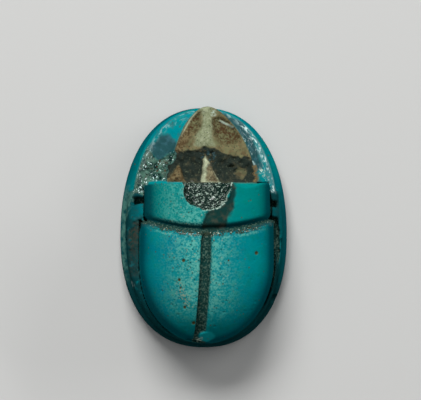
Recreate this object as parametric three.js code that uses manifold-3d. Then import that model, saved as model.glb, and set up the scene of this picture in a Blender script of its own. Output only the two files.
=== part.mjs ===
// A scarab amulet: a beetle carved in one piece with the oval plate that it sits on, pierced
// lengthwise for a string, lying on its flat underside. +Y is toward the head, +Z is up and the
// origin is in the middle of the underside. Lengths are in millimetres.

import * as THREE from 'three';
import { mergeVertices } from 'three/addons/utils/BufferGeometryUtils.js';
import Module from 'manifold-3d';

const wasm = await Module();
wasm.setup();

// Overall size
const LENGTH = 17.0;
const WIDTH = 11.8;
const HEIGHT = 7.6;

// The plate under the beetle
const PLATE_THICKNESS = 1.6;
const PLATE_EDGE = 0.2;
const LEDGE = 0.3;
const LEDGE_AT_HEAD = 0.05;

// The belt of legs around the body
const LEG_HEIGHT = 1.6;
const LEG_LEAN = 0.55;
const LEG_LEAN_AT_HEAD = 0.2;
const LEG_TOP_RISE = 0.7;
const LEG_TOP_WIDTH = 1.3;
const BODY_GAP = 0.22;
const BODY_GAP_DEPTH = 0.8;
const LEG_NOTCH_WIDTH = 0.75;
const LEG_NOTCH_SILL = 0.3;
const LEG_SLIT_WIDTH = 0.35;
const LEG_SLIT_SLANT = 1.6;
const LEG_RECESS_DEPTH = 0.5;
const LEG_RECESS_HEIGHT = 0.8;

// The back: wing cases and thorax over a core that shows as the floor of the grooves
const WALL_HEIGHT = 1.9;
const GROOVE_DEPTH = 0.45;
const THORAX_GROOVE_WIDTH = 0.5;
const SUTURE_WIDTH = 0.8;
const ARRIS = 0.2;

// The head and its broken front
const HEAD_SINK = 0.45;
const KEEL_HEIGHT = 0.35;
const CLYPEUS_LINTEL = 0.5;
const THORAX_CHIP_DEPTH = 0.75;

// The string hole
const HOLE_DIAMETER = 1.5;
const HOLE_SILL = 0.35;

// Fineness of the faceted surfaces
const OUTLINE_SEGMENTS = 96;
const HOLE_SEGMENTS = 24;
const BORDER_STEPS = 8;
const TAIL_STEPS = 14;
const FIELD_SHARES = [0.84, 0.66, 0.48, 0.3, 0.14];

// Proportions of the figure, as shares of half the width and half the length
const across = (share) => (share * WIDTH) / 2;
const along = (share) => (share * LENGTH) / 2;

const PLATE = {
  halfWidth: WIDTH / 2,
  frontY: LENGTH / 2,
  tailY: -LENGTH / 2,
  widestY: along(-0.07),
  centreX: 0,
  power: 2.25,
};
const BACK_HALF_WIDTH = across(0.82);
const BACK_WIDEST_Y = along(-0.28);
const BACK_TAIL_Y = -LENGTH / 2 + LEDGE;
const BACK_TAPER_REACH = along(1.18);
const BACK_TAPER_POWER = 2.8;
const BACK_ROUNDNESS = 2.3;
const SUTURE_FRONT_X = across(-0.017);
const SUTURE_TAIL_X = across(-0.046);
const CREST_Y = along(-0.1);
const CREST_FALL_POWER = 2.2;
const CREST_FRONT_REACH = along(1.35);
const THORAX_REAR_Y = along(-0.006);
const THORAX_REAR_BOW = along(0.106);
const THORAX_FRONT_Y = along(0.367);
const SHOULDER_SHARE = 0.97;
const HEAD_TIP_Y = LENGTH / 2;
const HEAD_HALF_WIDTH = across(0.54);
const HEAD_REAR_X = across(0.06);
const HEAD_TIP_X = across(0.02);
const HEAD_REAR_Z = HEIGHT * 0.77;
const SUNK_BAND = { leftX: across(-0.4), rightX: across(0.56), frontY: along(0.64) };
const SPUR = { baseX: across(0.02), halfWidth: across(0.13), tipX: across(-0.03), tipY: along(0.58) };
const CHIP = { x: across(-0.04), y: THORAX_FRONT_Y, radiusX: across(0.34), radiusY: along(0.24) };
const LEG_NOTCH_Y = along(0.235);
const MIDDLE_LEG_Y = along(-0.06);
const FRONT_LEG_FOOT_Y = along(0.74);
const HIND_LEG_FOOT_Y = along(-0.7);

// Heights that follow from the sizes above
const LEG_TOP_Z = PLATE_THICKNESS + LEG_HEIGHT;
const WALL_TOP_Z = PLATE_THICKNESS + WALL_HEIGHT;
const HOLE_Z = PLATE_THICKNESS + HOLE_SILL + HOLE_DIAMETER / 2;
const CLYPEUS_TIP_Z = HOLE_Z + HOLE_DIAMETER / 2 + CLYPEUS_LINTEL;
const ROOT_Z = PLATE_THICKNESS / 2;
const CLEAR_Z = HEIGHT + PLATE_THICKNESS;

const signedPower = (value, power) => Math.sign(value) * Math.abs(value) ** power;
const superRoot = (share, power) => (1 - Math.min(1, Math.abs(share)) ** power) ** (1 / power);
const mix = (from, to, share) => from + (to - from) * share;
const flat = (height) => () => height;

// Points around an egg-shaped outline, anticlockwise seen from above
function eggOutline(egg, segments = OUTLINE_SEGMENTS) {
  return Array.from({ length: segments }, (_, i) => {
    const angle = (2 * Math.PI * i) / segments;
    const reach = Math.sin(angle) > 0 ? egg.frontY - egg.widestY : egg.widestY - egg.tailY;
    return new THREE.Vector2(
      egg.centreX + egg.halfWidth * signedPower(Math.cos(angle), 2 / egg.power),
      egg.widestY + reach * signedPower(Math.sin(angle), 2 / egg.power),
    );
  });
}

// The same egg drawn in from its rim, by one amount at the sides and tail and another at the head
function drawnIn(egg, inset, insetAtHead = inset) {
  return {
    ...egg,
    halfWidth: egg.halfWidth - inset,
    frontY: egg.frontY - insetAtHead,
    tailY: egg.tailY + inset,
  };
}

// Cuts each corner of a closed outline back to the quarter points of its sides
function softened(outline) {
  return outline.flatMap((point, i) => {
    const next = outline[(i + 1) % outline.length];
    return [point.clone().lerp(next, 0.25), point.clone().lerp(next, 0.75)];
  });
}

function manifoldOf(geometry) {
  geometry.deleteAttribute('normal');
  geometry.deleteAttribute('uv');
  const merged = mergeVertices(geometry);
  return new wasm.Manifold(new wasm.Mesh({
    numProp: 3,
    vertProperties: new Float32Array(merged.attributes.position.array),
    triVerts: new Uint32Array(merged.index.array),
  }));
}

// A closed solid through level rings of equal length, from the lowest up, with a point at each end
function solidFromRings(rings, foot, crown) {
  const count = rings[0].length;
  const points = [...rings.flat(), foot, crown];
  const footIndex = points.length - 2;
  const crownIndex = points.length - 1;
  const triangles = [];
  for (let i = 0; i < count; i += 1) {
    const next = (i + 1) % count;
    triangles.push(footIndex, next, i);
    for (let level = 0; level < rings.length - 1; level += 1) {
      const low = level * count;
      const high = low + count;
      triangles.push(low + i, low + next, high + next, low + i, high + next, high + i);
    }
    const last = (rings.length - 1) * count;
    triangles.push(crownIndex, last + i, last + next);
  }
  const geometry = new THREE.BufferGeometry().setFromPoints(points);
  geometry.setIndex(triangles);
  return manifoldOf(geometry);
}

const raised = (outline, height) => outline.map((p) => new THREE.Vector3(p.x, p.y, height(p.x, p.y)));

// A solid that fills a plan outline between two surfaces, with its upper edge bevelled by the arris
function column(outline, hub, bottom, top, arris = 0) {
  const shrunk = (share) => outline.map((p) => hub.clone().lerp(p, share));
  const bevelled = outline.map((p) => p.clone().lerp(hub, arris / p.distanceTo(hub)));
  const rings = [...FIELD_SHARES].reverse().map((share) => raised(shrunk(share), bottom));
  rings.push(raised(outline, bottom));
  rings.push(raised(outline, (x, y) => top(x, y) - arris));
  if (arris > 0) rings.push(raised(bevelled, top));
  rings.push(...FIELD_SHARES.map((share) => raised(shrunk(share), top)));
  const foot = new THREE.Vector3(hub.x, hub.y, bottom(hub.x, hub.y));
  const crown = new THREE.Vector3(hub.x, hub.y, top(hub.x, hub.y));
  return solidFromRings(rings, foot, crown);
}

// Half the width of the back at a place along it
function backHalfWidth(y) {
  const behind = BACK_WIDEST_Y - y;
  const share = behind > 0
    ? superRoot(behind / (BACK_WIDEST_Y - BACK_TAIL_Y), 2)
    : superRoot(behind / BACK_TAPER_REACH, BACK_TAPER_POWER);
  return BACK_HALF_WIDTH * share;
}

// Height of the crest line above the top of the side walls
function crestRise(y) {
  const rise = HEIGHT - WALL_TOP_Z;
  const fall = CREST_Y - y;
  return fall > 0
    ? rise * superRoot(fall / (CREST_Y - BACK_TAIL_Y), CREST_FALL_POWER)
    : rise * superRoot(fall / CREST_FRONT_REACH, 2);
}

function domeHeight(x, y) {
  const halfWidth = Math.max(backHalfWidth(y), ARRIS);
  return WALL_TOP_Z + crestRise(y) * superRoot(x / halfWidth, BACK_ROUNDNESS);
}

const thoraxRear = (x) => THORAX_REAR_Y + THORAX_REAR_BOW * (x / BACK_HALF_WIDTH) ** 2;
const wingFront = (x) => thoraxRear(x) - THORAX_GROOVE_WIDTH;

function sutureEdge(side, y) {
  const share = (THORAX_REAR_Y - y) / (THORAX_REAR_Y - BACK_TAIL_Y);
  return mix(SUTURE_FRONT_X, SUTURE_TAIL_X, share) + (side * SUTURE_WIDTH) / 2;
}

// Outline of one wing case: down the suture, around the tail and up to the shoulder, and back
function wingOutline(side) {
  const points = [];
  const innerFrontY = wingFront(sutureEdge(side, THORAX_REAR_Y));
  const innerTailX = sutureEdge(side, BACK_TAIL_Y);
  const tailAngle = Math.acos((side * innerTailX) / BACK_HALF_WIDTH);
  const tailReach = BACK_WIDEST_Y - BACK_TAIL_Y;
  const innerTailY = BACK_WIDEST_Y - tailReach * Math.sin(tailAngle);
  for (let i = 0; i < BORDER_STEPS; i += 1) {
    const y = mix(innerFrontY, innerTailY, i / BORDER_STEPS);
    points.push(new THREE.Vector2(sutureEdge(side, y), y));
  }
  for (let i = 0; i < TAIL_STEPS; i += 1) {
    const angle = tailAngle * (1 - i / TAIL_STEPS);
    points.push(new THREE.Vector2(
      side * BACK_HALF_WIDTH * Math.cos(angle),
      BACK_WIDEST_Y - tailReach * Math.sin(angle),
    ));
  }
  const shoulderX = side * BACK_HALF_WIDTH * SHOULDER_SHARE;
  const shoulderY = wingFront(shoulderX);
  for (let i = 0; i < BORDER_STEPS / 2; i += 1) {
    const y = mix(BACK_WIDEST_Y, shoulderY, i / (BORDER_STEPS / 2));
    points.push(new THREE.Vector2(side * backHalfWidth(y), y));
  }
  for (let i = 0; i < BORDER_STEPS; i += 1) {
    const x = mix(shoulderX, sutureEdge(side, innerFrontY), i / BORDER_STEPS);
    points.push(new THREE.Vector2(x, wingFront(x)));
  }
  return side > 0 ? points : points.reverse();
}

function wingCase(side) {
  const hub = new THREE.Vector2((side * BACK_HALF_WIDTH) / 2, BACK_WIDEST_Y);
  return column(softened(wingOutline(side)), hub, flat(ROOT_Z), domeHeight, ARRIS);
}

// Outline of the thorax: its bowed rear border, its sides and its front border
function thoraxOutline(inset = 0) {
  const points = [];
  const sideX = backHalfWidth(THORAX_FRONT_Y) - inset;
  for (let i = 0; i <= 2 * BORDER_STEPS; i += 1) {
    const x = mix(-sideX, sideX, i / (2 * BORDER_STEPS));
    points.push(new THREE.Vector2(x, thoraxRear(x)));
  }
  const cornerY = thoraxRear(sideX);
  points.push(new THREE.Vector2(sideX, mix(cornerY, THORAX_FRONT_Y, 0.35)));
  points.push(new THREE.Vector2(sideX, mix(cornerY, THORAX_FRONT_Y, 0.7)));
  for (let i = 0; i <= BORDER_STEPS; i += 1) {
    points.push(new THREE.Vector2(mix(sideX, -sideX, i / BORDER_STEPS) * SHOULDER_SHARE, THORAX_FRONT_Y));
  }
  points.push(new THREE.Vector2(-sideX, mix(cornerY, THORAX_FRONT_Y, 0.7)));
  points.push(new THREE.Vector2(-sideX, mix(cornerY, THORAX_FRONT_Y, 0.35)));
  return points;
}

function thorax() {
  const hub = new THREE.Vector2(0, mix(THORAX_REAR_Y, THORAX_FRONT_Y, 0.5));
  return column(softened(thoraxOutline()), hub, flat(ROOT_Z), domeHeight, ARRIS);
}

// The body under the wing cases and the thorax, lower by the depth of the grooves
function core() {
  const egg = {
    halfWidth: BACK_HALF_WIDTH - ARRIS,
    frontY: THORAX_FRONT_Y - ARRIS,
    tailY: BACK_TAIL_Y + ARRIS,
    widestY: BACK_WIDEST_Y,
    centreX: 0,
    power: 2,
  };
  const hub = new THREE.Vector2(0, BACK_WIDEST_Y);
  return column(eggOutline(egg), hub, flat(ROOT_Z), (x, y) => domeHeight(x, y) - GROOVE_DEPTH);
}

const headShare = (y) => (y - THORAX_FRONT_Y) / (HEAD_TIP_Y - THORAX_FRONT_Y);
const headMiddle = (y) => mix(HEAD_REAR_X, HEAD_TIP_X, headShare(y));
const headSlope = (y) => mix(HEAD_REAR_Z, CLYPEUS_TIP_Z, headShare(y));

// The head slopes down to the plate's rim, with a keel along its middle
function headHeight(x, y) {
  const aside = Math.abs(x - headMiddle(y)) / HEAD_HALF_WIDTH;
  return headSlope(y) - KEEL_HEIGHT * Math.min(1, 2 * aside) - KEEL_HEIGHT * aside;
}

// Outline of the head and clypeus: a parabola with its point at the plate's rim
function headOutline() {
  const points = [];
  const steps = 2 * BORDER_STEPS;
  for (let i = -steps; i <= steps; i += 1) {
    const aside = -i / steps;
    const y = mix(THORAX_FRONT_Y, HEAD_TIP_Y, 1 - aside ** 2);
    points.push(new THREE.Vector2(headMiddle(y) + aside * HEAD_HALF_WIDTH, y));
  }
  const rearY = THORAX_FRONT_Y - THORAX_GROOVE_WIDTH;
  points.push(new THREE.Vector2(HEAD_REAR_X - HEAD_HALF_WIDTH, rearY));
  points.push(new THREE.Vector2(HEAD_REAR_X + HEAD_HALF_WIDTH, rearY));
  return points;
}

function head() {
  const hub = new THREE.Vector2(HEAD_REAR_X, mix(THORAX_FRONT_Y, HEAD_TIP_Y, 0.25));
  return column(headOutline(), hub, flat(ROOT_Z), headHeight);
}

// The sunk band where the head has lost its surface, around the small spur left in its middle
function sunkBand() {
  const { leftX, rightX, frontY } = SUNK_BAND;
  const rearY = THORAX_FRONT_Y - THORAX_GROOVE_WIDTH;
  const middleX = (leftX + rightX) / 2;
  const outline = [
    new THREE.Vector2(leftX, rearY),
    new THREE.Vector2(rightX, rearY),
    new THREE.Vector2(rightX, mix(rearY, frontY, 0.7)),
    new THREE.Vector2(mix(middleX, rightX, 0.5), mix(rearY, frontY, 0.9)),
    new THREE.Vector2(middleX, frontY),
    new THREE.Vector2(mix(middleX, leftX, 0.6), mix(rearY, frontY, 0.95)),
    new THREE.Vector2(leftX, mix(rearY, frontY, 0.75)),
  ];
  const hub = new THREE.Vector2(middleX, mix(rearY, frontY, 0.5));
  const floor = (x, y) => headHeight(x, y) - HEAD_SINK;
  const band = column(outline, hub, floor, flat(CLEAR_Z));
  const spur = column([
    new THREE.Vector2(SPUR.baseX - SPUR.halfWidth, rearY - ARRIS),
    new THREE.Vector2(SPUR.baseX + SPUR.halfWidth, rearY - ARRIS),
    new THREE.Vector2(SPUR.tipX, SPUR.tipY),
  ], new THREE.Vector2(SPUR.baseX, THORAX_FRONT_Y), flat(ROOT_Z), flat(CLEAR_Z + ARRIS));
  return band.subtract(spur);
}

// The belt of legs: an outer face that leans inward and a top that climbs toward the body
function legBelt() {
  const topInset = LEDGE + LEG_LEAN;
  const topInsetAtHead = LEDGE_AT_HEAD + LEG_LEAN_AT_HEAD;
  const foot = eggOutline(drawnIn(PLATE, LEDGE, LEDGE_AT_HEAD));
  const arris = eggOutline(drawnIn(PLATE, topInset, topInsetAtHead));
  const inner = eggOutline(drawnIn(PLATE, topInset + LEG_TOP_WIDTH, topInsetAtHead + LEG_TOP_WIDTH));
  const rings = [
    raised(foot, flat(ROOT_Z)),
    raised(foot, flat(PLATE_THICKNESS)),
    raised(arris, flat(LEG_TOP_Z)),
    raised(inner, flat(LEG_TOP_Z + LEG_TOP_RISE)),
  ];
  const hub = new THREE.Vector3(0, PLATE.widestY, ROOT_Z);
  return solidFromRings(rings, hub, hub.clone().setZ(LEG_TOP_Z + LEG_TOP_RISE));
}

// The narrow channel that parts the belt of legs from the walls of the body
function bodyChannel() {
  const points = [];
  const steps = 4 * BORDER_STEPS;
  for (let i = 0; i <= steps; i += 1) {
    const angle = Math.PI * (i / steps);
    points.push(new THREE.Vector2(
      -(BACK_HALF_WIDTH + BODY_GAP) * Math.cos(angle),
      BACK_WIDEST_Y - (BACK_WIDEST_Y - BACK_TAIL_Y + BODY_GAP) * Math.sin(angle),
    ));
  }
  for (let i = 1; i <= BORDER_STEPS; i += 1) {
    const y = mix(BACK_WIDEST_Y, THORAX_FRONT_Y, i / BORDER_STEPS);
    points.push(new THREE.Vector2(backHalfWidth(y) + BODY_GAP, y));
  }
  for (let i = BORDER_STEPS; i > 0; i -= 1) {
    const y = mix(BACK_WIDEST_Y, THORAX_FRONT_Y, i / BORDER_STEPS);
    points.push(new THREE.Vector2(-backHalfWidth(y) - BODY_GAP, y));
  }
  const hub = new THREE.Vector2(0, BACK_WIDEST_Y);
  return column(points, hub, flat(LEG_TOP_Z - BODY_GAP_DEPTH), flat(CLEAR_Z));
}

// A straight cut through the belt of one side, drawn as corners seen from that side
function sideCut(side, corners, innerX) {
  const shape = new THREE.Shape(corners.map(([y, z]) => new THREE.Vector2(y, z)));
  const geometry = new THREE.ExtrudeGeometry(shape, { depth: WIDTH - innerX, bevelEnabled: false });
  geometry.rotateX(Math.PI / 2);
  geometry.rotateZ(Math.PI / 2);
  geometry.translate(side > 0 ? innerX : -WIDTH, 0, 0);
  return manifoldOf(geometry);
}

// What a sunk place on the outer face of the belt leaves standing
function recessFloor() {
  const inset = LEDGE + LEG_RECESS_DEPTH;
  const outline = eggOutline(drawnIn(PLATE, inset, LEDGE_AT_HEAD + LEG_RECESS_DEPTH));
  const hub = new THREE.Vector3(0, PLATE.widestY, 0);
  return solidFromRings(
    [raised(outline, flat(0)), raised(outline, flat(CLEAR_Z))],
    hub,
    hub.clone().setZ(CLEAR_Z),
  );
}

// Between the legs: a notch behind the front leg, a slit ahead of the hind leg, and a sunk triangle
// under the front leg and under the hind leg
function legCuts(side) {
  const sillZ = PLATE_THICKNESS + LEG_NOTCH_SILL;
  const kneeZ = PLATE_THICKNESS + LEG_RECESS_HEIGHT;
  const notchFrontY = LEG_NOTCH_Y + LEG_NOTCH_WIDTH / 2;
  const notchRearY = LEG_NOTCH_Y - LEG_NOTCH_WIDTH / 2;
  const notch = sideCut(side, [
    [notchRearY, sillZ],
    [notchFrontY, sillZ],
    [notchFrontY, CLEAR_Z],
    [notchRearY, CLEAR_Z],
  ], backHalfWidth(LEG_NOTCH_Y));
  const slit = sideCut(side, [
    [MIDDLE_LEG_Y, kneeZ],
    [MIDDLE_LEG_Y - LEG_SLIT_WIDTH - LEG_SLIT_SLANT, CLEAR_Z],
    [MIDDLE_LEG_Y + LEG_SLIT_WIDTH - LEG_SLIT_SLANT, CLEAR_Z],
  ], 0);
  const underHindLeg = sideCut(side, [
    [HIND_LEG_FOOT_Y, PLATE_THICKNESS],
    [MIDDLE_LEG_Y - LEG_SLIT_WIDTH, PLATE_THICKNESS],
    [MIDDLE_LEG_Y - LEG_SLIT_WIDTH, kneeZ],
  ], 0);
  const underFrontLeg = sideCut(side, [
    [notchFrontY + LEG_SLIT_WIDTH, PLATE_THICKNESS],
    [FRONT_LEG_FOOT_Y, PLATE_THICKNESS],
    [notchFrontY + LEG_SLIT_WIDTH, kneeZ],
  ], 0);
  return notch.add(slit.add(underHindLeg).add(underFrontLeg).subtract(recessFloor()));
}

function plate() {
  const rim = eggOutline(PLATE);
  const inner = eggOutline(drawnIn(PLATE, PLATE_EDGE));
  const rings = [
    raised(inner, flat(0)),
    raised(rim, flat(PLATE_EDGE)),
    raised(rim, flat(PLATE_THICKNESS - PLATE_EDGE)),
    raised(inner, flat(PLATE_THICKNESS)),
  ];
  const hub = new THREE.Vector3(0, PLATE.widestY, 0);
  return solidFromRings(rings, hub, hub.clone().setZ(PLATE_THICKNESS));
}

function thoraxChip() {
  const geometry = new THREE.SphereGeometry(1, HOLE_SEGMENTS, HOLE_SEGMENTS / 2);
  geometry.rotateX(Math.PI / 2);
  geometry.scale(CHIP.radiusX, CHIP.radiusY, THORAX_CHIP_DEPTH);
  geometry.translate(CHIP.x, CHIP.y, domeHeight(CHIP.x, CHIP.y));
  return manifoldOf(geometry);
}

function stringHole() {
  const radius = HOLE_DIAMETER / 2;
  const geometry = new THREE.CylinderGeometry(radius, radius, LENGTH + WIDTH, HOLE_SEGMENTS);
  geometry.translate(0, 0, HOLE_Z);
  return manifoldOf(geometry);
}

function scarabSolid() {
  const belt = [-1, 1].reduce(
    (solid, side) => solid.subtract(legCuts(side)),
    legBelt().subtract(bodyChannel()),
  );
  return plate()
    .add(belt)
    .add(head().subtract(sunkBand()))
    .add(core())
    .add(wingCase(-1))
    .add(wingCase(1))
    .add(thorax())
    .subtract(thoraxChip())
    .subtract(stringHole());
}

function meshOf(solid, name, material) {
  const { vertProperties, triVerts } = solid.getMesh();
  const geometry = new THREE.BufferGeometry();
  geometry.setAttribute('position', new THREE.BufferAttribute(vertProperties, 3));
  geometry.setIndex(new THREE.BufferAttribute(triVerts, 1));
  geometry.computeVertexNormals();
  const mesh = new THREE.Mesh(geometry, material);
  mesh.name = name;
  return mesh;
}

const turquoiseGlaze = new THREE.MeshStandardMaterial({ color: 0x0d7f80, roughness: 0.35, metalness: 0 });

const group = new THREE.Group();
group.add(meshOf(scarabSolid(), 'scarab', turquoiseGlaze));

export default group;
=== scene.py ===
"""A glazed steatite scarab amulet, lying on its flat underside on a plain floor.

The carved surface is worked out as a distance field in millimetres from the same sizes as the
solid, meshed finely, thinned where it is flat, and dressed with a procedural material that reads
masks kept on the mesh.
"""

import math

import bpy
import numpy as np
from mathutils import Matrix, Vector


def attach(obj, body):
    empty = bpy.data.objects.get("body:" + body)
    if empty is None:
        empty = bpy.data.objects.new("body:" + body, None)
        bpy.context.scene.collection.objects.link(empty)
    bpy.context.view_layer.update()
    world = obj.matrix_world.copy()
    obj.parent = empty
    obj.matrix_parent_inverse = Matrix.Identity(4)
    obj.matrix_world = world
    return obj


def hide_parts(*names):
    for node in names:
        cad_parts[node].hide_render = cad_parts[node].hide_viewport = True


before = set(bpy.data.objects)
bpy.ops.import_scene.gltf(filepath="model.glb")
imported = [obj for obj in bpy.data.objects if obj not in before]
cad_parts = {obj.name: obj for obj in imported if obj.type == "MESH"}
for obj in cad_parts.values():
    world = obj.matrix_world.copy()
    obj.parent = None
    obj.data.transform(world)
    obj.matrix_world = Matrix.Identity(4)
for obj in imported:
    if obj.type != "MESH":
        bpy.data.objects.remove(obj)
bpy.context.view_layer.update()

MM = 0.001

# Sizes of the amulet, in millimetres
LENGTH = 17.0
WIDTH = 11.8
HEIGHT = 7.6
PLATE_THICKNESS = 1.6
PLATE_EDGE = 0.22
LEDGE = 0.3
LEDGE_AT_HEAD = 0.05
LEG_HEIGHT = 1.6
LEG_LEAN = 0.55
LEG_LEAN_AT_HEAD = 0.2
LEG_TOP_RISE = 0.7
LEG_TOP_WIDTH = 1.3
BODY_GAP = 0.22
BODY_GAP_DEPTH = 0.8
LEG_NOTCH_WIDTH = 0.75
LEG_NOTCH_SILL = 0.3
LEG_SLIT_WIDTH = 0.35
LEG_RECESS_DEPTH = 0.5
LEG_RECESS_HEIGHT = 0.8
WALL_HEIGHT = 1.9
GROOVE_DEPTH = 0.45
THORAX_GROOVE_WIDTH = 0.5
SUTURE_WIDTH = 0.8
ARRIS = 0.2
HEAD_SINK = 0.45
KEEL_HEIGHT = 0.35
CLYPEUS_LINTEL = 0.5
THORAX_CHIP_DEPTH = 0.75
HOLE_DIAMETER = 1.5
HOLE_SILL = 0.35


def across(share):
    return share * WIDTH / 2


def along(share):
    return share * LENGTH / 2


# Proportions of the figure
PLATE_WIDEST_Y = along(-0.07)
PLATE_POWER = 2.25
BACK_HALF_WIDTH = across(0.82)
BACK_WIDEST_Y = along(-0.28)
BACK_TAIL_Y = -LENGTH / 2 + LEDGE
BACK_TAPER_REACH = along(1.18)
BACK_TAPER_POWER = 2.8
BACK_ROUNDNESS = 2.3
SUTURE_FRONT_X = across(-0.017)
SUTURE_TAIL_X = across(-0.046)
CREST_Y = along(-0.1)
CREST_FALL_POWER = 2.2
CREST_FRONT_REACH = along(1.35)
THORAX_REAR_Y = along(-0.006)
THORAX_REAR_BOW = along(0.106)
THORAX_FRONT_Y = along(0.367)
HEAD_TIP_Y = LENGTH / 2
HEAD_HALF_WIDTH = across(0.54)
HEAD_REAR_X = across(0.06)
HEAD_TIP_X = across(0.02)
HEAD_REAR_Z = HEIGHT * 0.77
LEG_NOTCH_Y = along(0.235)
MIDDLE_LEG_Y = along(-0.06)
FRONT_LEG_FOOT_Y = along(0.74)
HIND_LEG_FOOT_Y = along(-0.7)
LEG_TOP_Z = PLATE_THICKNESS + LEG_HEIGHT
WALL_TOP_Z = PLATE_THICKNESS + WALL_HEIGHT
HOLE_Z = PLATE_THICKNESS + HOLE_SILL + HOLE_DIAMETER / 2
CLYPEUS_TIP_Z = HOLE_Z + HOLE_DIAMETER / 2 + CLYPEUS_LINTEL

# Small shifts from the solid towards the photo. A lean is a share of the groove's depth
HEAD_RIGHT_BULGE = 0.32
LEFT_WING_INSET = 0.17
LEFT_LEG_SPREAD = 0.45
RIGHT_LEG_SPREAD = 0.25
FRONT_LEG_REAR_Y = 1.6
FRONT_LEG_BLEND = 1.0
THORAX_MIDDLE_X = 0.13
THORAX_HALF_WIDTH = 4.45
THORAX_REAR_INSET = 0.14
THORAX_REAR_LEAN = 0.5
WING_FRONT_LEAN = 0.75
LEFT_SUTURE_LEAN = 0.1
RIGHT_SUTURE_LEAN = 0.8
SUTURE_LEAN_REACH = 0.4
FRONT_LEAN_REACH = 0.3
SUTURE_VEER = 0.26
SUTURE_FLARE = 0.12
LEFT_NOTCH_SHIFT = 0.13
RIGHT_NOTCH_SHIFT = 0.32
NOTCH_HALF_WIDTH = 0.2
NOTCH_FLOOR_Z = PLATE_THICKNESS + LEG_NOTCH_SILL + 0.4
NOTCH_WALL_HEIGHT = 0.5
SLIT_TOP_Z = LEG_TOP_Z - 0.5
THORAX_DENT_X = 2.75
THORAX_DENT_WIDTH = 0.8
THORAX_DENT_DEPTH = 0.3
LEFT_GAP_SHARE = 0.25
RIGHT_GAP_SHARE = 0.6
FRONT_GAP_SHARE = 0.1

# Roundings of the edges, in millimetres
WING_CORNER_ROUND = 0.12
LEFT_WING_ROUND = 0.9
RIGHT_WING_ROUND = 0.5
WING_RIM_ROUND = 0.7 * ARRIS
THORAX_CORNER_ROUND = 0.1
THORAX_SIDE_ROUND = 0.35
LEFT_KNEE_ROUND = 0.95
RIGHT_KNEE_ROUND = 0.55
FRONT_LEG_END_ROUND = 0.12
BELT_RIM_ROUND = 0.2
FRONT_LEG_RIM_ROUND = 0.3
LEG_CUT_ROUND = 0.14
SILL_ROUND = 0.1
CHANNEL_ROUND = 0.08
BELT_FOOT_FILLET = 0.06
HEAD_RIM_ROUND = 0.08
CORE_ROUND = 0.05
LUMP_ROUND = 0.35
LUMP_FILLET = 0.15
HOLE_ROUND = 0.1

# Depths, heights and spacing of the fine relief, in millimetres
STREAK_DEPTH = 0.14
FACET_DEPTH = 0.3
TAN_DEPTH = 0.1
KEEL_CROWN = 0.1
SCRATCH_RISE = 0.06
BROWN_LEG_DEPTH = 0.12
DARK_GAP_DEPTH = 0.7
STROKE_HEIGHT = 0.03
STROKE_SPACING = 0.32
LUMP_SINK = 0.12
LUMP_SQUASH = 1.5
PIT_DEPTH_SHARE = 0.7

# Count, lowest and highest corner, smallest and largest radius, and seed of scattered pits
WING_SCARS = (60, (-3.2, -7.2), (3.4, -0.8), 0.05, 0.1, 51)
THORAX_SCARS = (26, (-3.8, 0.4), (4.0, 3.0), 0.05, 0.09, 52)

# A groove that bows is this much narrower when measured square to it
BOW_SHRINK = 0.97

# The grid that the field is sampled on, and the fineness of outlines and mesh
SPACING = 0.068
MARGIN = 3
EGG_SEGMENTS = 160
TAIL_SEGMENTS = 80
SIDE_SEGMENTS = 20
HEAD_SEGMENTS = 33
RELAX_ROUNDS = 3
MOST_TRIANGLES = 190000
SEED = 17


def axis_steps(low, high):
    count = int(math.ceil((high - low) / SPACING)) + 2 * MARGIN
    return low - MARGIN * SPACING + SPACING * np.arange(count + 1)


XS = axis_steps(-WIDTH / 2, WIDTH / 2)
YS = axis_steps(-LENGTH / 2, LENGTH / 2)
ZS = axis_steps(0.0, HEIGHT) + SPACING / 2
X, Y = np.meshgrid(XS, YS, indexing="ij")


def super_root(share, power):
    return (1 - np.minimum(1, np.abs(share)) ** power) ** (1 / power)


def mix(start, end, share):
    return start + (end - start) * share


def fade(low, high, value):
    """Zero at low and one at high, smooth between them."""
    share = np.clip((value - low) / (high - low), 0, 1)
    return share * share * (3 - 2 * share)


def bell(value, width):
    """One where the value is zero, falling off on both sides."""
    return np.exp(-((value / width) ** 2))


def near_edge(distance, reach):
    """One at the edge of an outline, falling off inside it."""
    return np.exp(-np.clip(-distance, 0, None) / reach)


def rounded_max(a, b, radius):
    """The larger of two distances, with the edge where they meet rounded to a radius."""
    corner = np.hypot(np.maximum(a + radius, 0), np.maximum(b + radius, 0)) - radius
    return np.where((a > -radius) & (b > -radius), corner, np.maximum(a, b))


def rounded_min(a, b, radius):
    return -rounded_max(-a, -b, radius)


def plan_distance(outline, px=X, py=Y):
    """Signed distance in the plane to a closed outline, negative inside."""
    points = np.asarray(outline, float)
    nearest = np.full(px.shape, np.inf)
    inside = np.zeros(px.shape, bool)
    for (ax, ay), (bx, by) in zip(points, np.roll(points, -1, axis=0)):
        ex, ey = bx - ax, by - ay
        length = ex * ex + ey * ey
        if length == 0:
            continue
        share = np.clip(((px - ax) * ex + (py - ay) * ey) / length, 0, 1)
        nearest = np.minimum(nearest, np.hypot(px - ax - share * ex, py - ay - share * ey))
        if ay != by:
            crosses = (ay > py) != (by > py)
            inside ^= crosses & (px < ax + (py - ay) * ex / ey)
    return np.where(inside, -nearest, nearest)


# Seeded noise over the plan
PLAN = np.stack([X, Y], axis=-1)
TABLE_SIDE = 64


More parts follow.
